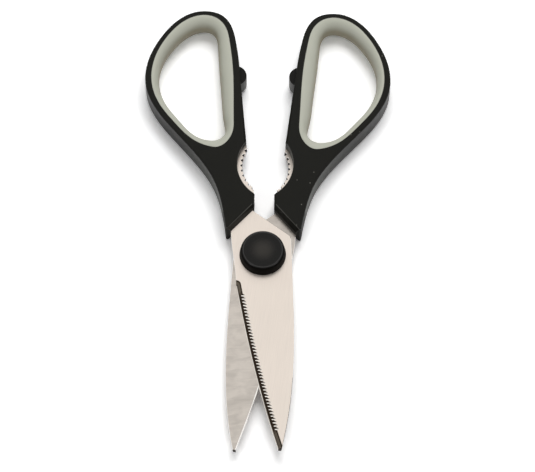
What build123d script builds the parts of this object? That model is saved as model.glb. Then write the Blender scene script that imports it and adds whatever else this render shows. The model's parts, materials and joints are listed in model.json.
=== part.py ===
from build123d import *
import os
from math import cos, hypot, radians, sin

# Kitchen shears with a nutcracker, lying flat and a little open, in millimetres.
# The origin is on the pivot axis at the resting plane, the tips point along -Y and +Z is up.
# Each half is drawn closed in its own plane, which lies where the two blades touch:
# u runs from the midline towards the half's own handle, v from the pivot towards the loops,
# and the half's steel lies below the plane, in w. The upper half is the lower one turned over.

# Overall sizes, closed
handle_reach = 124.0
handle_half_width = 45.4
handle_thickness = 10.8
blade_reach = 89.9
blade_half_width = 12.6
blade_thickness = 2.5
rest_half_angle = 6.0

# Outline of a handle without its loop and nutcracker cut, as shares of half width and reach
inner_wall_shares = [(0.04626, 0.1782), (0.02863, 0.229), (0.06388, 0.4335), (0.06718, 0.7718)]
loop_top_shares = [
    (0.06718, 0.7718),
    (0.07819, 0.8548),
    (0.1112, 0.9282),
    (0.185, 0.9734),
    (0.2863, 0.9944),
    (0.4009, 1),
]
loop_side_shares = [(0.4009, 1), (0.6344, 0.9686), (0.8216, 0.8968), (0.9515, 0.8113), (1, 0.7177)]
neck_shares = [
    (1, 0.7177),
    (0.9251, 0.6097),
    (0.7952, 0.529),
    (0.5661, 0.4073),
    (0.4009, 0.2871),
    (0.3458, 0.1815),
    (0.3326, 0.0996),
]
outline_pull = (1, 1)
handle_edge_radius = 0.9
end_flat = 2.6
end_bevel_run = 1.3
end_corner_radius = 0.9
crotch_step = 0.5

# Soft grip in a loop: rim points as shares, each with its own share of the grip's width
grip_width = 6.3
grip_land = 0.3
grip_step = 0.15
grip_tongue_depth = 0.8
grip_tongue_height = 3.0
grip_crown = 0.03
grip_section_angles = range(-90, 91, 15)
rim_shares = [
    (0.3877, 0.4282, 0.83),
    (0.5969, 0.471, 0.54),
    (0.7489, 0.5423, 0.52),
    (0.8656, 0.6121, 0.52),
    (0.9361, 0.7065, 0.52),
    (0.891, 0.8105, 0.55),
    (0.7379, 0.9056, 0.67),
    (0.5308, 0.9685, 0.78),
    (0.359, 0.9798, 0.81),
    (0.2511, 0.9637, 0.80),
    (0.1828, 0.9323, 0.80),
    (0.1432, 0.8589, 0.85),
    (0.1344, 0.7419, 0.95),
    (0.152, 0.621, 0.83),
    (0.1685, 0.5363, 0.68),
    (0.2004, 0.4742, 0.60),
]

# Stop bumper between the two arms
bumper_radius = 5.1
bumper_height = 8.0
bumper_inset = 1.6
bumper_edge_radius = 0.4
bumper_station_share = 0.7213
stop_gap = 0.3

# Nutcracker cut: its centre as shares, the toothed steel and the plastic set back from it
cracker_centre_share = (-0.2269, 0.3484)
cracker_radius = 15.8
cracker_steel_width = 2.3
cracker_drop = 1.0
notch_radius = 0.55
notch_centre_inset = 0.2
notch_count = 9
notch_pitch_angle = 9.2
notch_first_angle = -42.0

# Tang inside the plastic
tang_cover = 2.3
tang_end_share = 0.4587
tang_corner_share = (0.1982, 0.4052)
anchor_radius = 2.5
anchor_shares = [(0.3063, 0.3528), (0.2062, 0.2394)]

# Blade outline as shares of half width and reach
spine_shares = [(-0.310, -0.879), (-0.496, -0.765), (-0.672, -0.612), (-0.856, -0.344), (-0.984, -0.028)]
edge_shares = [(0.984, -0.150), (0.832, -0.354), (0.640, -0.559), (0.400, -0.764)]
heel_shares = [(1.002, 0.0), (1.024, 0.076)]
shoulder_share = (-1.01, 0.086)
tip_width = 1.3
shoulder_radius = 2.0

# Ground bevel and its serrations
bevel_run = 2.05
edge_land = 0.15
serration_count = 42
serration_pitch = 1.54
serration_start = 5.2
serration_radius = 0.6
serration_start_share = 0.62
serration_flat = 0.85

# Pivot: shouldered screw with two flats, thin nut, washer and the two caps
shank_radius = 3.0
shank_flat_width = 4.8
thread_radius = 2.0
screw_slot_width = 1.2
screw_slot_depth = 0.9
head_radius = 5.5
head_height = 1.8
washer_thickness = 0.5
nut_width = 8.0
nut_height = 1.7
running_clearance = 0.05
front_cap_radius = 10.0
front_cap_top_radius = 9.2
front_cap_height = 4.8
front_cap_edge_radius = 1.5
cap_dome = 0.25
cap_wall = 1.3
cap_head_gap = 0.3
back_cap_radius = 8.6
back_cap_edge_radius = 0.8

# One overrun serves every cut
overrun = 1.0

contact_height = handle_thickness / 2
lower_half = Plane(origin=(0, 0, contact_height)).rotated((0, 0, -rest_half_angle))
upper_half = Plane(origin=(0, 0, contact_height), x_dir=(-1, 0, 0), z_dir=(0, 0, -1)).rotated(
    (0, 0, rest_half_angle)
)


def placed(shares, across, along):
    """Outline points from shares of a width across and a length along."""
    return [(u * across, v * along) for u, v in shares]


def handle_points(shares):
    """Points in a handle's own sizes."""
    return placed(shares, handle_half_width, handle_reach)


def blade_points(shares):
    """Points in a blade's own sizes."""
    return placed(shares, blade_half_width, blade_reach)


# Handle outline: inner wall, round loop, neck, and an end with a short flat before the slope.
# The curves leave their ends at an even pull, so that they bend evenly from one to the next.
end_corner = handle_points(neck_shares)[-1]
end_turn = (end_corner[0] - end_flat, end_corner[1])
inner_wall_points = handle_points(inner_wall_shares)
inner_end = inner_wall_points[0]
with BuildSketch() as handle_outline:
    with BuildLine():
        Polyline(*inner_wall_points)
        Spline(*handle_points(loop_top_shares), tangents=[(0, 1), (1, 0)], tangent_scalars=outline_pull)
        Spline(*handle_points(loop_side_shares), tangents=[(1, 0), (0, -1)], tangent_scalars=outline_pull)
        neck = Spline(*handle_points(neck_shares), tangents=[(0, -1), (0, -1)], tangent_scalars=outline_pull)
        Polyline(end_corner, end_turn, inner_end)
    make_face()

# What is cut away to round the upright corner at the neck's end
waste_side = end_corner_radius + overrun
with BuildSketch() as corner_waste:
    with Locations((end_corner[0] + overrun, end_corner[1] - overrun)):
        Rectangle(waste_side, waste_side, align=(Align.MAX, Align.MIN))
    with Locations((end_corner[0] - end_corner_radius, end_corner[1] + end_corner_radius)):
        Circle(end_corner_radius, mode=Mode.SUBTRACT)

rim_points = handle_points([row[:2] for row in rim_shares])


def inward_points(widths):
    """Rim points moved into the loop, square to the rim, each by its own width."""
    moved = []
    for index, (u, v) in enumerate(rim_points):
        before = rim_points[index - 1]
        after = rim_points[(index + 1) % len(rim_points)]
        du = after[0] - before[0]
        dv = after[1] - before[1]
        length = hypot(du, dv)
        moved.append((u - widths[index] * dv / length, v + widths[index] * du / length))
    return moved


with BuildSketch() as rim_outline:
    with BuildLine():
        Spline(*rim_points, periodic=True)
    make_face()

with BuildSketch() as tongue_outline:
    with BuildLine():
        Spline(*inward_points([-grip_tongue_depth] * len(rim_points)), periodic=True)
    make_face()

# Nutcracker circle, bumper disc and tang
cracker_centre = handle_points([cracker_centre_share])[0]
cracker_plastic_radius = cracker_radius + cracker_steel_width
cracker_plastic_centre = (cracker_centre[0], cracker_centre[1] - cracker_drop)
bumper_centre = (stop_gap / 2 + bumper_radius, bumper_station_share * handle_reach)
arm_u = inner_wall_points[-1][0]
bumper_back = arm_u + bumper_inset

with BuildSketch() as bumper_outline:
    with Locations(bumper_centre):
        Circle(bumper_radius)
    with Locations((bumper_back, bumper_centre[1])):
        Rectangle(2 * bumper_radius, 2 * bumper_radius, align=(Align.MIN, Align.CENTER), mode=Mode.SUBTRACT)

# Blade outline: tip, spine, shoulder, crotch, the root inside the plastic, heel and edge
shoulder = blade_points([shoulder_share])[0]
heel_points = blade_points(heel_shares)
edge_points = blade_points(edge_shares) + [(tip_width / 2, -blade_reach)]
spine_points = [(-tip_width / 2, -blade_reach)] + blade_points(spine_shares)
crotch = (inner_end[0] + crotch_step, inner_end[1] - crotch_step)
end_slope = (end_turn[1] - inner_end[1]) / (end_turn[0] - inner_end[0])
steel_outer_u = end_corner[0] - tang_cover
steel_outer = (steel_outer_u, inner_end[1] + end_slope * (steel_outer_u - inner_end[0]))
root_top = inner_end[1] + 2 * tang_cover
root_inner = (inner_end[0] + tang_cover, root_top)
with BuildSketch() as blade_outline:
    with BuildLine():
        cutting_edge = Spline(*edge_points)
        Line(edge_points[-1], spine_points[0])
        Spline(*spine_points)
        Line(spine_points[-1], shoulder)
        Polyline(shoulder, crotch, root_inner, (steel_outer_u, root_top), steel_outer)
        Spline(steel_outer, *reversed(heel_points), edge_points[0])
    make_face()
    fillet(blade_outline.vertices().sort_by_distance(shoulder)[0], radius=shoulder_radius)


def beside_neck(share):
    """Point inside the neck's outer side by the tang's cover."""
    point = Vector(*handle_points([share])[0])
    along = neck.tangent_at(neck.param_at_point(point))
    return point + Vector(along.Y, -along.X) * tang_cover


tang_side_points = [beside_neck(share) for share in neck_shares[3:-1]]
inner_wall_top = inner_wall_points[1]
with BuildSketch() as tang_outline:
    with BuildLine():
        tang_side = Spline(*tang_side_points)
        Polyline(
            tang_side @ 1,
            (inner_end[0] + tang_cover, inner_end[1] + tang_cover),
            (inner_wall_top[0] + tang_cover, inner_wall_top[1]),
            handle_points([tang_corner_share])[0],
            tang_side @ 0,
        )
    make_face()
    with BuildSketch(mode=Mode.ADD):
        add(handle_outline.sketch)
        with Locations(cracker_plastic_centre):
            Circle(cracker_plastic_radius + tang_cover, mode=Mode.INTERSECT)
    with Locations((0, tang_end_share * handle_reach)):
        Rectangle(2 * handle_half_width, handle_reach, align=(Align.CENTER, Align.MIN), mode=Mode.SUBTRACT)
    add(blade_outline.sketch)
    with Locations(cracker_centre):
        Circle(cracker_radius, mode=Mode.SUBTRACT)
        with PolarLocations(
            cracker_radius + notch_centre_inset,
            notch_count,
            start_angle=notch_first_angle,
            angular_range=notch_pitch_angle * (notch_count - 1),
            endpoint=True,
        ):
            Circle(notch_radius, mode=Mode.SUBTRACT)
    with Locations(*handle_points(anchor_shares)):
        Circle(anchor_radius, mode=Mode.SUBTRACT)


# Heights of the pivot's seats
blade_top = contact_height + blade_thickness
blade_bottom = contact_height - blade_thickness
head_bottom = blade_top + washer_thickness
head_top = head_bottom + head_height
thread_end = blade_bottom - nut_height
hole_radius = shank_radius + running_clearance


def make_blade(half):
    """Blade and tang in one plate, ground to an edge on its outer side, without a pivot hole."""
    run_on = (cutting_edge @ 1) + (cutting_edge % 1) * tip_width
    with BuildPart() as blade:
        with BuildSketch(half.offset(-blade_thickness)):
            add(tang_outline.sketch)
        extrude(amount=blade_thickness)
        with BuildLine(half, mode=Mode.PRIVATE) as path:
            Spline(*edge_points)
            Line(edge_points[-1], run_on)
        edge = path.wires()[0]
        heel = edge @ 0
        beyond = overrun * bevel_run / (blade_thickness - edge_land)
        section = Plane(origin=heel, x_dir=half.z_dir.cross(edge % 0), z_dir=edge % 0)
        inner_corner = (-bevel_run - beyond, -blade_thickness - overrun)
        outer_corner = (beyond, overrun - edge_land)
        with BuildSketch(section):
            with BuildLine():
                Polyline(outer_corner, inner_corner, (beyond, inner_corner[1]), close=True)
            make_face()
        sweep(path=edge, mode=Mode.SUBTRACT)
        with BuildSketch(section):
            with BuildLine():
                Polyline((0, -edge_land), inner_corner, (0, inner_corner[1]), close=True)
            make_face()
        revolve(axis=Axis(heel, half.z_dir), mode=Mode.SUBTRACT)
    return blade.part, edge


def serration_planes(half, edge):
    """Planes of the serrations, each with its Z along a scoop across the bevel's shoulder."""
    low = Vector(-serration_start_share * bevel_run, 0)
    low_w = -edge_land - serration_start_share * (blade_thickness - edge_land)
    across = serration_flat + (1 - serration_start_share) * bevel_run
    rise = blade_thickness + low_w
    length = hypot(across, rise)
    planes = []
    for index in range(serration_count):
        station = serration_start + index * serration_pitch
        point = edge.position_at(station, position_mode=PositionMode.LENGTH)
        along = edge.tangent_at(station, position_mode=PositionMode.LENGTH)
        outward = half.z_dir.cross(along)
        scoop = (outward * -across - half.z_dir * rise) / length
        away = (outward * rise - half.z_dir * across) / length
        middle = point + outward * (low.X - across / 2) + half.z_dir * (low_w - rise / 2)
        planes.append(Plane(origin=middle + away * serration_radius, x_dir=along, z_dir=scoop))
    return planes, length


def end_section(half):
    """Section plane across a handle's end face, with X out of the handle and Y up in the half."""
    start = half.from_local_coords(inner_end)
    along = (half.from_local_coords(end_turn) - start).normalized()
    outward = along.cross(half.z_dir)
    if outward.dot(half.y_dir) > 0:
        outward = -outward
    return Plane(origin=start, x_dir=outward, z_dir=outward.cross(half.z_dir))


bevel_height = handle_thickness / 2 - blade_thickness
bevel_beyond = overrun * end_bevel_run / bevel_height


def make_handle(half):
    """Moulded handle with its slot for the tang and its seats for the grip and bumper."""
    with BuildPart() as handle:
        with BuildSketch(half.offset(-handle_thickness / 2)):
            add(handle_outline.sketch)
        extrude(amount=handle_thickness)
        rims = handle.faces().filter_by(Plane.XY).edges()
        sides = rims.filter_by(lambda rim: half.to_local_coords(rim @ 0.5).Y > inner_end[1])
        fillet(sides, radius=handle_edge_radius)
        with BuildSketch(half.offset(-handle_thickness / 2)):
            with Locations(cracker_plastic_centre):
                Circle(cracker_plastic_radius)
        extrude(amount=handle_thickness, mode=Mode.SUBTRACT)
        with BuildSketch(end_section(half)):
            with BuildLine():
                Polyline(
                    (0, blade_thickness),
                    (-end_bevel_run - bevel_beyond, handle_thickness / 2 + overrun),
                    (overrun, handle_thickness / 2 + overrun),
                    (overrun, blade_thickness),
                    close=True,
                )
            make_face()
            mirror(about=Plane.XZ)
        extrude(amount=handle_half_width, both=True, mode=Mode.SUBTRACT)
        with BuildSketch(half.offset(-handle_thickness / 2)):
            add(corner_waste.sketch)
        extrude(amount=handle_thickness, mode=Mode.SUBTRACT)
        with BuildSketch(half.offset(-handle_thickness / 2)):
            add(rim_outline.sketch)
        extrude(amount=handle_thickness, mode=Mode.SUBTRACT)
        with BuildSketch(half.offset(-grip_tongue_height / 2)):
            add(tongue_outline.sketch)
        extrude(amount=grip_tongue_height, mode=Mode.SUBTRACT)
        with BuildSketch(half.offset(-blade_thickness)):
            add(tang_outline.sketch)
        extrude(amount=blade_thickness, mode=Mode.SUBTRACT)
        with BuildSketch(half.offset(-bumper_height / 2)):
            add(bumper_outline.sketch)
        extrude(amount=bumper_height, mode=Mode.SUBTRACT)
    return handle.part


def make_grip(half):
    """Soft ring in the loop, with a tongue in the handle's groove and a full round inner side."""
    half_height = handle_thickness / 2 - grip_step
    with BuildPart() as grip:
        with BuildSketch(half.offset(-half_height)):
            add(rim_outline.sketch)
        extrude(amount=2 * half_height)
        with BuildSketch(half.offset(-grip_tongue_height / 2)):
            add(tongue_outline.sketch)
        extrude(amount=grip_tongue_height)
        for angle in grip_section_angles:
            bulge = cos(radians(angle))
            widths = [grip_land + (row[2] * grip_width - grip_land) * bulge for row in rim_shares]
            with BuildSketch(half.offset((half_height + grip_crown) * sin(radians(angle)))):
                with BuildLine():
                    Spline(*inward_points(widths), periodic=True)
                make_face()
        loft(mode=Mode.SUBTRACT)
    return grip.part


def make_bumper(half):
    """Rubber stop, most of a disc, pressed into the arm."""
    with BuildPart() as bumper:
        with BuildSketch(half.offset(-bumper_height / 2)):
            add(bumper_outline.sketch)
        extrude(amount=bumper_height)
        fillet(bumper.edges().filter_by(GeomType.CIRCLE), radius=bumper_edge_radius)
    return bumper.part


# Lower half: the right handle, with the blade whose flat inner face shows
lower_plate, lower_edge = make_blade(lower_half)
with BuildPart() as lower_blade:
    add(lower_plate)
    with BuildSketch(lower_half.offset(-blade_thickness)):
        Circle(hole_radius)
        Rectangle(shank_flat_width + 2 * running_clearance, 2 * hole_radius, mode=Mode.INTERSECT)
    extrude(amount=blade_thickness, mode=Mode.SUBTRACT)

with BuildPart() as lower_handle:
    add(make_handle(lower_half))

with BuildPart() as lower_grip:
    add(make_grip(lower_half))

with BuildPart() as lower_bumper:
    add(make_bumper(lower_half))

# Upper half: the left handle, with the serrated blade that lies on top
upper_plate, upper_edge = make_blade(upper_half)
scoops, scoop_length = serration_planes(upper_half, upper_edge)
with BuildPart() as upper_blade:
    add(upper_plate)
    with BuildSketch(upper_half.offset(-blade_thickness)):
        Circle(hole_radius)
    extrude(amount=blade_thickness, mode=Mode.SUBTRACT)
    with Locations(*scoops):
        Cylinder(serration_radius, scoop_length + 2 * overrun, mode=Mode.SUBTRACT)

with BuildPart() as upper_handle:
    add(make_handle(upper_half))

with BuildPart() as upper_grip:
    add(make_grip(upper_half))

with BuildPart() as upper_bumper:
    add(make_bumper(upper_half))

# Pivot screw: slotted head, round shank in the upper blade, flats in the lower one, thread
with BuildPart() as pivot_screw:
    with BuildSketch(Plane.XZ):
        with BuildLine():
            Polyline(
                (0, thread_end),
                (thread_radius, thread_end),
                (thread_radius, blade_bottom),
                (shank_radius, blade_bottom),
                (shank_radius, head_bottom),
                (head_radius, head_bottom),
                (head_radius, head_top),
                (0, head_top),
                close=True,
            )
        make_face()
    revolve(axis=Axis.Z)
    with BuildSketch(lower_half.offset(-blade_thickness)):
        Circle(shank_radius + overrun)
        Rectangle(shank_flat_width, 2 * head_radius, mode=Mode.SUBTRACT)
    extrude(amount=blade_thickness, mode=Mode.SUBTRACT)
    with BuildSketch(Plane.XY.offset(head_top)):
        Rectangle(2 * head_radius + overrun, screw_slot_width)
    extrude(amount=-screw_slot_depth, mode=Mode.SUBTRACT)

with BuildPart() as pivot_washer:
    with BuildSketch(Plane.XY.offset(blade_top)):
        Circle(head_radius)
        Circle(hole_radius, mode=Mode.SUBTRACT)
    extrude(amount=washer_thickness)

with BuildPart() as pivot_nut:
    with BuildSketch(Plane.XY.offset(thread_end)):
        RegularPolygon(nut_width / 2, side_count=6, major_radius=False)
        Circle(thread_radius + running_clearance, mode=Mode.SUBTRACT)
    extrude(amount=nut_height)

# Front cap: a tapered button with a low dome, whose inner collar grips the screw's head
cap_top = blade_top + front_cap_height
cap_ceiling = cap_top - cap_wall - cap_dome
collar_radius = head_radius + running_clearance
rim_of_top = (front_cap_top_radius, cap_top - cap_dome)
with BuildPart() as front_cap:
    with BuildSketch(Plane.XZ) as cap_section:
        with BuildLine():
            TangentArc((0, cap_top), rim_of_top, tangent=(1, 0))
            Polyline(
                rim_of_top,
                (front_cap_radius, blade_top),
                (front_cap_radius - cap_wall, blade_top),
                (front_cap_top_radius - cap_wall, cap_ceiling),
                (collar_radius + cap_wall, cap_ceiling),
                (collar_radius + cap_wall, head_bottom),
                (collar_radius, head_bottom),
                (collar_radius, cap_ceiling),
                (0, cap_ceiling),
                (0, cap_top),
            )
        make_face()
        fillet(cap_section.vertices().sort_by_distance(rim_of_top)[0], radius=front_cap_edge_radius)
    revolve(axis=Axis.Z)

# Back cap: a low disc over the nut, on whose flat face the shears rest
with BuildPart() as back_cap:
    with BuildSketch():
        Circle(back_cap_radius)
    extrude(amount=blade_bottom)
    fillet(back_cap.edges().filter_by(GeomType.CIRCLE).sort_by(Axis.Z)[0], radius=back_cap_edge_radius)
    with BuildSketch(Plane.XY.offset(blade_bottom)):
        RegularPolygon(nut_width / 2 + running_clearance, side_count=6, major_radius=False)
    extrude(amount=-nut_height - cap_head_gap, mode=Mode.SUBTRACT)

pieces = {
    "lower_blade": lower_blade,
    "lower_handle": lower_handle,
    "lower_grip": lower_grip,
    "lower_bumper": lower_bumper,
    "upper_blade": upper_blade,
    "upper_handle": upper_handle,
    "upper_grip": upper_grip,
    "upper_bumper": upper_bumper,
    "pivot_screw": pivot_screw,
    "pivot_washer": pivot_washer,
    "pivot_nut": pivot_nut,
    "front_cap": front_cap,
    "back_cap": back_cap,
}
os.makedirs("parts", exist_ok=True)
for name, piece in pieces.items():
    piece.part.label = name
    export_step(piece.part, f"parts/{name}.step")
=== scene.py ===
import json
import math

import bpy
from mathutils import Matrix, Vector

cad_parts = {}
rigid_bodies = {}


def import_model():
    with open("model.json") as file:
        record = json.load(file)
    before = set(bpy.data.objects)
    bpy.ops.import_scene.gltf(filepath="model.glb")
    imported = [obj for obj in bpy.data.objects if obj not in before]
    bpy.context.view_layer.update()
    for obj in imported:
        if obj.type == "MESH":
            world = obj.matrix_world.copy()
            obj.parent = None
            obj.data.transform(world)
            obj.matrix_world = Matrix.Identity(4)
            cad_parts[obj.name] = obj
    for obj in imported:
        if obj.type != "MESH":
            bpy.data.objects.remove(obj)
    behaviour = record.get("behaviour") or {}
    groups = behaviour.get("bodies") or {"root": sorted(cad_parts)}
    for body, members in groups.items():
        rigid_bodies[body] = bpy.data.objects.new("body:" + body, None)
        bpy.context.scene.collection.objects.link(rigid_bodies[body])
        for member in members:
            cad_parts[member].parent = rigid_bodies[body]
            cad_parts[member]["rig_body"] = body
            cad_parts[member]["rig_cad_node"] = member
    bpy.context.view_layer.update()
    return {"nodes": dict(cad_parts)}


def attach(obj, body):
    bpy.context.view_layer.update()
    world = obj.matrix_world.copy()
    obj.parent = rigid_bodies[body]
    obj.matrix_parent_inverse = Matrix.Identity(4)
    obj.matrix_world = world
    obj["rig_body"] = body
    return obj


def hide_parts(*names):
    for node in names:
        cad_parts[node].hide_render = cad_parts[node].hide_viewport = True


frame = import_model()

# The camera stands before the tips and looks down on the shears from well above the table.
# Its long lens, as on a product table, shows the loops and the tips nearly in parallel.
frame_width = 535
pixels_per_metre = 2317.0
camera_distance = 1.0
camera_azimuth = math.radians(1.448)
camera_elevation = math.radians(62.555)
camera_aim = Vector((0.0018, 0.0102, 0.0054))
camera_level = math.cos(camera_elevation)
camera_back = Vector(
    (
        math.sin(camera_azimuth) * camera_level,
        -math.cos(camera_azimuth) * camera_level,
        math.sin(camera_elevation),
    )
)
bpy.ops.object.select_all(action="DESELECT")
bpy.ops.object.camera_add(location=camera_aim + camera_back * camera_distance)
camera = bpy.context.object
camera.rotation_euler = camera_back.to_track_quat("Z", "Y").to_euler()
camera.data.sensor_width = 36.0
camera.data.lens = camera.data.sensor_width * pixels_per_metre * camera_distance / frame_width
bpy.context.scene.camera = camera

# Each blade and its tang are one plate of hardened stainless knife steel, stamped and 2.5 mm thick.
# The faces are ground fine. The cutting bevels are ground coarser afterwards,
# and the upper blade's bevel then gets a row of short scoops across its shoulder.
# The bevels' dark tone is painted, standing for the dark reflection they show.


def linear(code):
    """Linear colour of an sRGB hex code."""
    parts = [int(code[i : i + 2], 16) / 255 for i in (0, 2, 4)]
    return [p / 12.92 if p <= 0.04045 else ((p + 0.055) / 1.055) ** 2.4 for p in parts] + [1.0]


def add_node(tree, kind, inputs, **settings):
    """Adds a node: each input takes a value, or is joined to another node's output."""
    node = tree.nodes.new(kind)
    for name, value in settings.items():
        setattr(node, name, value)
    for socket, value in inputs.items():
        if isinstance(value, bpy.types.NodeSocket):
            tree.links.new(value, node.inputs[socket])
        else:
            node.inputs[socket].default_value = value
    return node


def new_material(name):
    """An empty material, and its node tree."""
    material = bpy.data.materials.new(name)
    material.use_nodes = True
    material.node_tree.nodes.clear()
    return material, material.node_tree


def pattern_place(tree, turn, size):
    """Object coordinates turned about the pivot and counted in cells of a size in metres."""
    place = add_node(tree, "ShaderNodeTexCoord", {})
    turned = add_node(
        tree, "ShaderNodeMapping", {"Vector": place.outputs["Object"], "Rotation": (0.0, 0.0, turn)}
    )
    scale = tuple(1.0 / s for s in size)
    scaled = add_node(tree, "ShaderNodeMapping", {"Vector": turned.outputs["Vector"], "Scale": scale})
    return scaled.outputs["Vector"]


# A noise pattern hardly ever leaves this range.
noise_low, noise_high = 0.3, 0.7


def uneven_material(name, dark, light, roughness, cell, metallic=0.0, specular=0.5):
    """A material whose tone wanders between two colours, and its gloss too, over cells in metres."""
    material, tree = new_material(name)
    wander = add_node(
        tree,
        "ShaderNodeTexNoise",
        {"Vector": pattern_place(tree, 0.0, (cell,) * 3), "Scale": 1.0, "Detail": 3.0},
    )
    tone = add_node(
        tree,
        "ShaderNodeMix",
        {0: wander.outputs["Fac"], 6: linear(dark), 7: linear(light)},
        data_type="RGBA",
    )
    gloss = add_node(
        tree,
        "ShaderNodeMapRange",
        {
            "Value": wander.outputs["Fac"],
            "From Min": noise_low,
            "From Max": noise_high,
            "To Min": roughness - 0.04,
            "To Max": roughness + 0.04,
        },
    )
    surface = add_node(
        tree,
        "ShaderNodeBsdfPrincipled",
        {
            "Base Color": tone.outputs[2],
            "Metallic": metallic,
            "Roughness": gloss.outputs["Result"],
            "Specular IOR Level": specular,
        },
    )
    add_node(tree, "ShaderNodeOutputMaterial", {"Surface": surface.outputs["BSDF"]})
    return material


def ground_steel(name, tone, roughness, turn, line, smear, smear_depth):
    """Ground stainless steel: fine lines of one direction, and faint larger smears."""
    material, tree = new_material(name)
    lines = add_node(
        tree,
        "ShaderNodeTexNoise",
        {"Vector": pattern_place(tree, turn, line), "Scale": 1.0, "Detail": 2.0},
    )
    smears = add_node(
        tree,
        "ShaderNodeTexNoise",
        {"Vector": pattern_place(tree, turn, smear), "Scale": 1.0, "Detail": 3.0, "Distortion": 0.6},
    )
    line_tone = add_node(
        tree,
        "ShaderNodeMapRange",
        {
            "Value": lines.outputs["Fac"],
            "From Min": noise_low,
            "From Max": noise_high,
            "To Min": 0.94,
            "To Max": 1.0,
        },
    )
    smear_tone = add_node(
        tree,
        "ShaderNodeMapRange",
        {
            "Value": smears.outputs["Fac"],
            "From Min": 0.35,
            "From Max": 0.7,
            "To Min": 1.0,
            "To Max": smear_depth,
        },
    )
    both = add_node(
        tree,
        "ShaderNodeMath",
        {0: line_tone.outputs["Result"], 1: smear_tone.outputs["Result"]},
        operation="MULTIPLY",
    )
    colour = add_node(
        tree,
        "ShaderNodeMix",
        {0: both.outputs["Value"], 6: (0.0, 0.0, 0.0, 1.0), 7: linear(tone)},
        data_type="RGBA",
    )
    gloss = add_node(
        tree,
        "ShaderNodeMapRange",
        {
            "Value": lines.outputs["Fac"],
            "From Min": noise_low,
            "From Max": noise_high,
            "To Min": roughness - 0.05,
            "To Max": roughness + 0.05,
        },
    )
    relief = add_node(
        tree,
        "ShaderNodeBump",
        {"Height": lines.outputs["Fac"], "Strength": 0.12, "Distance": 0.00002},
    )
    surface = add_node(
        tree,
        "ShaderNodeBsdfPrincipled",
        {
            "Base Color": colour.outputs[2],
            "Metallic": 1.0,
            "Roughness": gloss.outputs["Result"],
            "Normal": relief.outputs["Normal"],
        },
    )
    add_node(tree, "ShaderNodeOutputMaterial", {"Surface": surface.outputs["BSDF"]})
    return material


def object_axes(tree):
    """The node that gives the object's X, Y and Z."""
    place = add_node(tree, "ShaderNodeTexCoord", {})
    return add_node(tree, "ShaderNodeSeparateXYZ", {0: place.outputs["Object"]})


def distance_to(tree, value, level):
    """How far a value lies above or below a level."""
    offset = add_node(tree, "ShaderNodeMath", {0: value, 1: level}, operation="SUBTRACT")
    size = add_node(tree, "ShaderNodeMath", {0: offset.outputs["Value"]}, operation="ABSOLUTE")
    return size.outputs["Value"]


# Each half stands open by this angle, and the two blades touch at this height.
half_turn = math.radians(6.0)
touch_height = 0.0054
# Fine-ground face: satin, a warm pale grey, with lines along the blade.
satin_steel = ground_steel(
    "satin_ground_stainless", "EADFD4", 0.34, half_turn, (0.00025, 0.012, 0.01), (0.02, 0.03, 0.01), 0.97
)
# Inner face: ground across the blade and handled, so it is greyer, with smears and rubbed streaks.
inner_steel = ground_steel(
    "cross_ground_stainless", "D0C8BF", 0.36, -half_turn, (0.012, 0.0004, 0.01), (0.007, 0.0032, 0.01), 0.8
)
# The plates' upright sides, their broken corners and the honed strip are polished, and painted brighter
# than the faces as a painted highlight.
edge_polish_and_highlight = uneven_material("polished_steel_edge_painted_highlight", "F5F2ED", "FFFCF8", 0.18, 0.003, metallic=1.0)
# Dirt stays in the punched notches, and their deep walls are also painted dark as painted shade.
notch_stain_and_shade = uneven_material("stained_steel_painted_shade", "241F1B", "3A332D", 0.6, 0.0005, metallic=0.6)
# The flank of a scoop that faces the tip is painted dark as painted shade, and the rest is painted bright
# as a painted highlight.
# The dark one also paints the tips' end faces as painted shade.
dark_steel_painted_shade = uneven_material("scoop_and_tip_steel_painted_shade", "2A221B", "3C332A", 0.45, 0.0006, metallic=1.0)
scoop_painted_highlight = uneven_material("scoop_steel_painted_highlight", "EBE6DE", "FAF5ED", 0.22, 0.0006, metallic=1.0)

# Bevel as it comes off the wheel: coarse, with lines across the edge. Its dark tone is painted,
# standing for the dark reflection the bevel shows. Its last half millimetre is honed, and painted bright
# as a painted highlight, and the middle of its plain stretches at heel and tip is painted paler.
# The honed line and the paler band are placed by their height from the plane in which the blades touch.
honed_highlight_full, honed_highlight_gone = 0.00045, 0.0006
pale_band_middle = 0.0014
pale_band_full, pale_band_gone = 0.0004, 0.0007
# The row of scoops lies about this place along the shears, and ends between these distances from it.
scoop_row_middle = -0.05
scoop_row_end, plain_start = 0.0305, 0.0325
bevel_painted_reflection, tree = new_material("wheel_ground_bevel_painted_reflection")
axes = object_axes(tree)
rise = distance_to(tree, axes.outputs["Z"], touch_height)
honed_highlight = add_node(
    tree,
    "ShaderNodeMapRange",
    {"Value": rise, "From Min": honed_highlight_full, "From Max": honed_highlight_gone, "To Min": 1.0, "To Max": 0.0},
)
band = add_node(
    tree,
    "ShaderNodeMapRange",
    {
        "Value": distance_to(tree, rise, pale_band_middle),
        "From Min": pale_band_full,
        "From Max": pale_band_gone,
        "To Min": 1.0,
        "To Max": 0.0,
    },
)
plain = add_node(
    tree,
    "ShaderNodeMapRange",
    {
        "Value": distance_to(tree, axes.outputs["Y"], scoop_row_middle),
        "From Min": scoop_row_end,
        "From Max": plain_start,
    },
)
pale_band = add_node(
    tree,
    "ShaderNodeMath",
    {0: band.outputs["Result"], 1: plain.outputs["Result"]},
    operation="MULTIPLY",
)
lines = add_node(
    tree,
    "ShaderNodeTexNoise",
    {"Vector": pattern_place(tree, 0.0, (0.006, 0.0003, 0.01)), "Scale": 1.0, "Detail": 2.0},
)
dark_tone = add_node(
    tree,
    "ShaderNodeMix",
    {0: lines.outputs["Fac"], 6: linear("1E160F"), 7: linear("3A3026")},
    data_type="RGBA",
)
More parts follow.
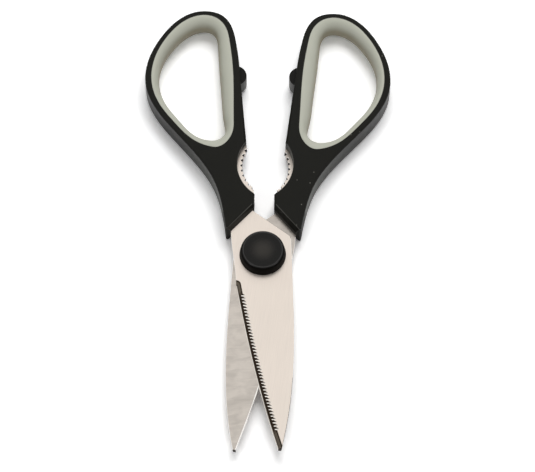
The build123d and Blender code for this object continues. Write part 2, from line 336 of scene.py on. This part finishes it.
pale_band_tone = add_node(
    tree,
    "ShaderNodeMix",
    {0: pale_band.outputs["Value"], 6: dark_tone.outputs[2], 7: linear("60584E")},
    data_type="RGBA",
)
bevel_tone = add_node(
    tree,
    "ShaderNodeMix",
    {0: honed_highlight.outputs["Result"], 6: pale_band_tone.outputs[2], 7: linear("EDE8E0")},
    data_type="RGBA",
)
surface = add_node(
    tree,
    "ShaderNodeBsdfPrincipled",
    {"Base Color": bevel_tone.outputs[2], "Metallic": 1.0, "Roughness": 0.42},
)
add_node(tree, "ShaderNodeOutputMaterial", {"Surface": surface.outputs["BSDF"]})

# Points nearer than this become one, and facets that turn by less than this become one face.
merge_distance = 0.000002
facet_angle = 0.4
# Only corners that turn by more than this are broken.
corner_angle = 60.0
level_upness = 0.9999


def finished_copy(node, body, finishes, corner_break, crease_angle, cuts=()):
    """A joined-up copy of a solid with its corners just broken, standing for that solid.
    The faces of the broken corners take the second finish. Faces are parted where a cut crosses them."""
    bpy.ops.object.select_all(action="DESELECT")
    piece = frame["nodes"][node].copy()
    piece.data = piece.data.copy()
    piece.name = piece.data.name = f"{node}_finished"
    piece.parent = None
    # The copy drops the solid's own marks, because it gets new ones below.
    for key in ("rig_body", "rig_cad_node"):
        if key in piece:
            del piece[key]
    bpy.context.scene.collection.objects.link(piece)
    piece.data.materials.clear()
    for finish in finishes:
        piece.data.materials.append(finish)
    bpy.context.view_layer.objects.active = piece
    piece.select_set(True)
    bpy.ops.object.mode_set(mode="EDIT")
    bpy.ops.mesh.select_all(action="SELECT")
    bpy.ops.mesh.remove_doubles(threshold=merge_distance)
    bpy.ops.mesh.dissolve_limited(angle_limit=math.radians(facet_angle))
    for place, direction in cuts:
        bpy.ops.mesh.select_all(action="SELECT")
        bpy.ops.mesh.bisect(plane_co=place, plane_no=direction)
    bpy.ops.object.mode_set(mode="OBJECT")
    if corner_break:
        softened = piece.modifiers.new("corner_break", "BEVEL")
        softened.width = corner_break
        softened.segments = 1
        softened.limit_method = "ANGLE"
        softened.angle_limit = math.radians(corner_angle)
        softened.loop_slide = False
        softened.use_clamp_overlap = False
        softened.material = 1
        bpy.ops.object.modifier_apply(modifier=softened.name)
    bpy.ops.object.shade_smooth_by_angle(angle=math.radians(crease_angle))
    # A level face is shaded flat, or the rounded edge next to it would streak across it.
    for face in piece.data.polygons:
        if abs(face.normal.z) > level_upness:
            face.use_smooth = False
    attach(piece, body)
    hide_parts(node)
    return piece


def paint_faces(piece, material, chosen):
    """Gives a material to the faces that a test picks."""
    place = piece.data.materials.find(material.name)
    if place < 0:
        piece.data.materials.append(material)
        place = len(piece.data.materials) - 1
    for face in piece.data.polygons:
        if chosen(face):
            face.material_index = place


def half_point(u, v, side):
    """Place in the object of a point that is given from the midline and the pivot of a closed half."""
    return Vector(
        (
            side * (u * math.cos(half_turn) + v * math.sin(half_turn)),
            v * math.cos(half_turn) - u * math.sin(half_turn),
        )
    )


# The cutting edge from heel to tip, in a closed half.
edge_line = (
    (0.0124, -0.0135),
    (0.01048, -0.0318),
    (0.00806, -0.0503),
    (0.00504, -0.0687),
    (0.00065, -0.0899),
)


def edge_stretches(side):
    """The straight stretches of a half's cutting edge, each as its start and its run."""
    points = [half_point(u, v, side) for u, v in edge_line]
    return [(start, end - start) for start, end in zip(points, points[1:])]


blade_corner_break = 0.00012
blade_crease = 25.0
# A face's upness is the share of its normal that points up or down, by which its place is known.
flat_upness = 0.9
upright_upness = 0.1
heel_upness = 0.97
scoop_upness = 0.99
bevel_upness = 0.657
bevel_spread = 0.01
# The tangs show their fine-ground faces again beyond this distance from the pivot.
tang_start = 0.026
tang_cut = ((0.0, tang_start, 0.0), (0.0, 1.0, 0.0))
tip_distance = 0.0899
tip_reach = 0.0009
heel_reach = 0.003
# Nine small round notches are punched in each tang's edge at the nutcracker.
cracker_middle = (-0.0103, 0.0432)
notch_ring = 0.016
notch_reach = 0.0008
notch_upness = 0.5
notch_angles = [math.radians(-42.0 + 9.2 * step) for step in range(9)]
# The lower blade's inner face is honed in a strip that runs along the cutting edge, and the strip is
# painted bright as a painted highlight.
honed_highlight_width = 0.0004
strip_cuts = []
for start, run in edge_stretches(1.0):
    inward = Vector((run.y, -run.x)).normalized()
    strip_cuts.append(((start + inward * honed_highlight_width).to_3d(), inward.to_3d()))
# The scoops are ground at a slant: they lean towards the tip as they run away from the edge.
scoop_lean = 0.4
scoop_start = 0.00127
scoop_end = 0.0032
dark_turn = 0.2
edge_heel = half_point(*edge_line[0], -1.0)
edge_run = (half_point(*edge_line[-1], -1.0) - edge_heel).normalized()


def in_honed_highlight_strip(face, side):
    """Whether a face lies in the honed strip along the edge."""
    for start, run in edge_stretches(side):
        station = (face.center.xy - start).dot(run) / run.length_squared
        off = abs((face.center.xy - start).cross(run.normalized()))
        if 0.0 <= station <= 1.0 and off < honed_highlight_width:
            return True
    return False


def in_scoop(face):
    """Whether a face of the upper blade lies in a scoop, which is neither flat, upright nor the bevel."""
    upness = abs(face.normal.z)
    on_bevel = abs(upness - bevel_upness) <= bevel_spread
    return upright_upness < upness < scoop_upness and not on_bevel and face.center.y < edge_heel.y


def lean_scoops(blade):
    """Moves the corners of the scoops along the edge, more the further they are from it."""
    corners = set()
    for face in blade.data.polygons:
        if in_scoop(face):
            corners.update(face.vertices)
    for corner in corners:
        vertex = blade.data.vertices[corner]
        for start, run in edge_stretches(-1.0):
            if (vertex.co.xy - start).dot(run) <= run.length_squared:
                break
        run.normalize()
        off = abs((vertex.co.xy - start).cross(run))
        if scoop_start < off < scoop_end:
            vertex.co.xy += run * (off - scoop_start) * scoop_lean


for half, side, bevel_side in (("upper", -1.0, 1.0), ("lower", 1.0, -1.0)):
    # Its broken corners take the bright edge finish, a painted highlight.
    blade = finished_copy(
        f"{half}_blade",
        f"{half}_half",
        (satin_steel, edge_polish_and_highlight),
        blade_corner_break,
        blade_crease,
        [tang_cut] + (strip_cuts if half == "lower" else []),
    )
    notches = [
        half_point(
            cracker_middle[0] + notch_ring * math.cos(angle),
            cracker_middle[1] + notch_ring * math.sin(angle),
            side,
        )
        for angle in notch_angles
    ]
    tip = half_point(0.0, -tip_distance, side)
    finishes = [
        (inner_steel, lambda face: face.normal.z * bevel_side < -flat_upness),
        # The honed strip along the lower blade's edge is painted bright as a painted highlight.
        (
            edge_polish_and_highlight,
            lambda face: face.normal.z * bevel_side < -flat_upness and in_honed_highlight_strip(face, side),
        ),
        # The upright sides short of the tang are painted bright as a painted highlight.
        (edge_polish_and_highlight, lambda face: abs(face.normal.z) < upright_upness and face.center.y < tang_start),
        # The bevel faces take the bevel's painted dark reflection.
        (bevel_painted_reflection, lambda face: abs(face.normal.z - bevel_side * bevel_upness) < bevel_spread),
        (satin_steel, lambda face: face.center.y > tang_start and abs(face.normal.z) > flat_upness),
        # The notches' walls are painted dark, for dirt and as painted shade.
        (
            notch_stain_and_shade,
            lambda face: abs(face.normal.z) < notch_upness
            and any((face.center.xy - notch).length < notch_reach for notch in notches),
        ),
        # The tip's end faces are painted dark as painted shade.
        (dark_steel_painted_shade, lambda face: (face.center.xy - tip).length < tip_reach),
    ]
    if half == "upper":
        lean_scoops(blade)
        finishes += [
            # The bevel's slanted end at the heel is painted dark as painted shade.
            (
                bevel_painted_reflection,
                lambda face: upright_upness < abs(face.normal.z) < heel_upness
                and (face.center.xy - edge_heel).length < heel_reach,
            ),
            # A scoop's flank that faces the tip is painted shade, and its other flank a painted highlight.
            (dark_steel_painted_shade, lambda face: in_scoop(face) and face.normal.xy.dot(edge_run) > dark_turn),
            (scoop_painted_highlight, lambda face: in_scoop(face) and face.normal.xy.dot(edge_run) <= dark_turn),
        ]
    for finish, chosen in finishes:
        paint_faces(blade, finish, chosen)

# The handles are injection moulded round the tangs in black glass-filled nylon.
# The mould is spark-eroded, so flat faces look matt, and only edges and walls seen at a low angle shine.
handle_black, tree = new_material("spark_textured_black_nylon")
grain = add_node(
    tree,
    "ShaderNodeTexNoise",
    {"Vector": pattern_place(tree, 0.0, (0.00035,) * 3), "Scale": 1.0, "Detail": 2.0},
)
wear = add_node(
    tree,
    "ShaderNodeTexNoise",
    {"Vector": pattern_place(tree, 0.0, (0.012,) * 3), "Scale": 1.0, "Detail": 3.0},
)
nylon_tone = add_node(
    tree,
    "ShaderNodeMix",
    {0: wear.outputs["Fac"], 6: linear("0E0E0B"), 7: linear("161612")},
    data_type="RGBA",
)
# Here and there a speck of pale dust sticks in the texture.
dust = add_node(
    tree,
    "ShaderNodeTexVoronoi",
    {"Vector": pattern_place(tree, 0.0, (0.005,) * 3), "Scale": 1.0},
)
speck = add_node(
    tree,
    "ShaderNodeMapRange",
    {"Value": dust.outputs["Distance"], "From Min": 0.03, "From Max": 0.06, "To Min": 0.6, "To Max": 0.0},
)
handle_tone = add_node(
    tree,
    "ShaderNodeMix",
    {0: speck.outputs["Result"], 6: nylon_tone.outputs[2], 7: linear("8C8A82")},
    data_type="RGBA",
)
handle_gloss = add_node(
    tree,
    "ShaderNodeMapRange",
    {
        "Value": wear.outputs["Fac"],
        "From Min": noise_low,
        "From Max": noise_high,
        "To Min": 0.4,
        "To Max": 0.5,
    },
)
handle_relief = add_node(
    tree, "ShaderNodeBump", {"Height": grain.outputs["Fac"], "Strength": 0.3, "Distance": 0.00003}
)
surface = add_node(
    tree,
    "ShaderNodeBsdfPrincipled",
    {
        "Base Color": handle_tone.outputs[2],
        "Roughness": handle_gloss.outputs["Result"],
        "Specular IOR Level": 0.12,
        "Normal": handle_relief.outputs["Normal"],
    },
)
add_node(tree, "ShaderNodeOutputMaterial", {"Surface": surface.outputs["BSDF"]})
# The walls that slide out of the mould are left smooth, so they shine at a low angle.
# Their colour is also painted paler as a painted sheen, palest beside the neck and darker round the loop.
neck_y, loop_y = 0.03, 0.06
wall_black_painted_sheen, tree = new_material("smooth_black_nylon_painted_sheen")
loop_share = add_node(
    tree,
    "ShaderNodeMapRange",
    {"Value": object_axes(tree).outputs["Y"], "From Min": neck_y, "From Max": loop_y},
    interpolation_type="SMOOTHSTEP",
)
wall_tone = add_node(
    tree,
    "ShaderNodeMix",
    {0: loop_share.outputs["Result"], 6: linear("42433E"), 7: linear("171714")},
    data_type="RGBA",
)
surface = add_node(
    tree,
    "ShaderNodeBsdfPrincipled",
    {"Base Color": wall_tone.outputs[2], "Roughness": 0.4, "Specular IOR Level": 0.5},
)
add_node(tree, "ShaderNodeOutputMaterial", {"Surface": surface.outputs["BSDF"]})
# The sharp corners are painted paler as a painted highlight along the broken edges.
corner_black_painted_highlight = uneven_material("black_nylon_corner_painted_highlight", "42423D", "565651", 0.45, 0.004, specular=0.3)
handle_corner_break = 0.00015
moulded_crease = 30.0
wall_upness = 0.35
wall_start = 0.019
for half, side in (("upper", -1.0), ("lower", 1.0)):
    # The broken corners take the paler corner finish, a painted highlight.
    handle = finished_copy(
        f"{half}_handle",
        f"{half}_half",
        (handle_black, corner_black_painted_highlight),
        handle_corner_break,
        moulded_crease,
    )
    # The outer walls past the pivot are painted paler as a painted sheen.
    paint_faces(
        handle,
        wall_black_painted_sheen,
        lambda face: abs(face.normal.z) < wall_upness
        and face.normal.x * side > 0.0
        and face.center.y > wall_start,
    )

# The loops are lined with a soft ring of thermoplastic elastomer, moulded into a groove in the handle.
# It is a smooth greenish grey with a low, broad sheen.
grip_grey, tree = new_material("grey_elastomer")
mottle = add_node(
    tree,
    "ShaderNodeTexNoise",
    {"Vector": pattern_place(tree, 0.0, (0.015,) * 3), "Scale": 1.0, "Detail": 2.0},
)
# The middle of its wall is painted a little darker and yellower than the rims, as painted shade and warm
# bounce light.
painted_shade_height, painted_light_height = 0.0008, 0.0042
rise = distance_to(tree, object_axes(tree).outputs["Z"], touch_height)
fade = add_node(
    tree,
    "ShaderNodeMapRange",
    {"Value": rise, "From Min": painted_shade_height, "From Max": painted_light_height},
    interpolation_type="SMOOTHSTEP",
)
lit_rim_tone = add_node(
    tree,
    "ShaderNodeMix",
    {0: mottle.outputs["Fac"], 6: linear("ACADA0"), 7: linear("B4B5A8")},
    data_type="RGBA",
)
grip_tone = add_node(
    tree,
    "ShaderNodeMix",
    {0: fade.outputs["Result"], 6: linear("938D79"), 7: lit_rim_tone.outputs[2]},
    data_type="RGBA",
)
skin = add_node(
    tree,
    "ShaderNodeTexNoise",
    {"Vector": pattern_place(tree, 0.0, (0.0004,) * 3), "Scale": 1.0, "Detail": 1.0},
)
grip_relief = add_node(
    tree, "ShaderNodeBump", {"Height": skin.outputs["Fac"], "Strength": 0.15, "Distance": 0.00002}
)
surface = add_node(
    tree,
    "ShaderNodeBsdfPrincipled",
    {
        "Base Color": grip_tone.outputs[2],
        "Roughness": 0.5,
        "Normal": grip_relief.outputs["Normal"],
    },
)
add_node(tree, "ShaderNodeOutputMaterial", {"Surface": surface.outputs["BSDF"]})
grip_crease = 50.0
for half in ("upper", "lower"):
    finished_copy(f"{half}_grip", f"{half}_half", (grip_grey,), 0.0, grip_crease)

# A rubber bumper is pressed into the inner side of each arm and stops the handles when they close.
# It is moulded in black rubber: its flat end is matt, and its round side comes smooth from the mould and
# is painted paler as a painted sheen.
stop_rubber = uneven_material("black_stop_rubber", "0F0F0D", "131311", 0.55, 0.001, specular=0.12)
rubber_side_painted_sheen = uneven_material("smooth_stop_rubber_painted_sheen", "272723", "31312D", 0.4, 0.002, specular=0.6)
for half in ("upper", "lower"):
    bumper = finished_copy(
        f"{half}_bumper", f"{half}_half", (stop_rubber,), 0.0, moulded_crease
    )
    # The round side is painted paler as a painted sheen.
    paint_faces(bumper, rubber_side_painted_sheen, lambda face: abs(face.normal.z) < wall_upness)

# The pivot is a turned steel screw with a washer and a thin nut, closed on both sides by pushed-on caps.
# The caps are moulded in black nylon with a finer texture than the handles, so their edges shine more.
# The middle of a cap's top is painted a little paler than its edge, as a painted sheen.
painted_sheen_radius, sheen_edge_radius = 0.001, 0.0065
cap_black, tree = new_material("satin_black_nylon")
place = add_node(tree, "ShaderNodeTexCoord", {})
across = add_node(
    tree, "ShaderNodeVectorMath", {0: place.outputs["Object"], 1: (1.0, 1.0, 0.0)}, operation="MULTIPLY"
)
radius = add_node(tree, "ShaderNodeVectorMath", {0: across.outputs["Vector"]}, operation="LENGTH")
outward = add_node(
    tree,
    "ShaderNodeMapRange",
    {"Value": radius.outputs["Value"], "From Min": painted_sheen_radius, "From Max": sheen_edge_radius},
    interpolation_type="SMOOTHSTEP",
)
cap_tone = add_node(
    tree,
    "ShaderNodeMix",
    {0: outward.outputs["Result"], 6: linear("2B2824"), 7: linear("0B0A08")},
    data_type="RGBA",
)
surface = add_node(
    tree,
    "ShaderNodeBsdfPrincipled",
    {"Base Color": cap_tone.outputs[2], "Roughness": 0.22, "Specular IOR Level": 0.2},
)
add_node(tree, "ShaderNodeOutputMaterial", {"Surface": surface.outputs["BSDF"]})
# The cap's coned side is matt and painted deep black as painted shade, and the edge round its top is
# glossier and painted a little paler as a painted highlight.
side_black_painted_shade = uneven_material("matt_black_nylon_painted_shade", "050403", "080705", 0.55, 0.001, specular=0.03)
rim_black_painted_highlight = uneven_material("polished_black_nylon_painted_highlight", "131110", "191715", 0.16, 0.002, specular=0.7)
cone_upness = 0.82
rim_upness = (0.93, 0.985)
for side in ("front", "back"):
    cap = finished_copy(f"{side}_cap", "lower_half", (cap_black,), 0.0, moulded_crease)
    # The coned side is painted deep black as painted shade, and the rim band paler as a painted highlight.
    paint_faces(cap, side_black_painted_shade, lambda face: abs(face.normal.z) < cone_upness)
    paint_faces(cap, rim_black_painted_highlight, lambda face: rim_upness[0] <= abs(face.normal.z) < rim_upness[1])
# The screw, washer and nut are bright from the lathe.
pivot_steel = uneven_material("turned_stainless", "BEBCB8", "D2D0CC", 0.25, 0.001, metallic=1.0)
for node in ("pivot_screw", "pivot_washer", "pivot_nut"):
    frame["nodes"][node].data.materials.clear()
    frame["nodes"][node].data.materials.append(pivot_steel)

# The table is plain white paper, and the lamps are large and soft: a wide panel beyond the handles,
# whose light runs back towards the camera, and an even white room around.
table_size = 2.6
table_drop = 0.0002
paper_seen = 1.25
paper_bounce = 0.92
paper_lift = 0.03
paper, tree = new_material("white_paper")
ray = add_node(tree, "ShaderNodeLightPath", {})
seen = add_node(
    tree,
    "ShaderNodeMath",
    {0: ray.outputs["Is Camera Ray"], 1: paper_lift},
    operation="MULTIPLY",
)
tint = add_node(
    tree,
    "ShaderNodeMapRange",
    {"Value": ray.outputs["Is Camera Ray"], "To Min": paper_bounce, "To Max": paper_seen},
)
diffuse = add_node(tree, "ShaderNodeBsdfDiffuse", {"Color": tint.outputs["Result"]})
lift = add_node(
    tree, "ShaderNodeEmission", {"Color": (1.0, 1.0, 1.0, 1.0), "Strength": seen.outputs["Value"]}
)
sheet = add_node(tree, "ShaderNodeAddShader", {0: diffuse.outputs["BSDF"], 1: lift.outputs["Emission"]})
add_node(tree, "ShaderNodeOutputMaterial", {"Surface": sheet.outputs["Shader"]})
bpy.ops.object.select_all(action="DESELECT")
bpy.ops.mesh.primitive_plane_add(size=table_size, location=(0.0, 0.0, -table_drop))
table_top = bpy.context.object
table_top.name = "table_top"
table_top.data.materials.append(paper)

lamps = (
    ("key_panel", (0.12, 0.75, 1.1), 0.9, 12.5),
    ("left_panel", (-0.75, -0.55, 0.8), 0.3, 1.6),
    ("right_panel", (0.85, -0.45, 0.8), 0.3, 1.6),
)
for name, place, size, power in lamps:
    bpy.ops.object.light_add(type="AREA", location=place)
    lamp = bpy.context.object
    lamp.name = name
    lamp.data.shape = "SQUARE"
    lamp.data.size = size
    lamp.data.energy = power
    lamp.rotation_euler = Vector(place).to_track_quat("Z", "Y").to_euler()
    lamp.visible_glossy = name != "key_panel"

# The room lights the shears weakly, and looks white where it is seen or mirrored.
room_fill = 0.34
world = bpy.data.worlds.new("white_room")
bpy.context.scene.world = world
world.use_nodes = True
tree = world.node_tree
tree.nodes.clear()
ray = add_node(tree, "ShaderNodeLightPath", {})
direct = add_node(
    tree,
    "ShaderNodeMath",
    {0: ray.outputs["Is Camera Ray"], 1: ray.outputs["Is Glossy Ray"]},
    operation="MAXIMUM",
)
direct = add_node(
    tree,
    "ShaderNodeMath",
    {0: direct.outputs["Value"], 1: ray.outputs["Is Transmission Ray"]},
    operation="MAXIMUM",
)
strength = add_node(
    tree,
    "ShaderNodeMapRange",
    {"Value": direct.outputs["Value"], "To Min": room_fill, "To Max": 1.0},
)
room = add_node(
    tree,
    "ShaderNodeBackground",
    {"Color": (1.0, 1.0, 1.0, 1.0), "Strength": strength.outputs["Result"]},
)
add_node(tree, "ShaderNodeOutputWorld", {"Surface": room.outputs["Background"]})
bpy.context.scene.view_settings.view_transform = "Standard"
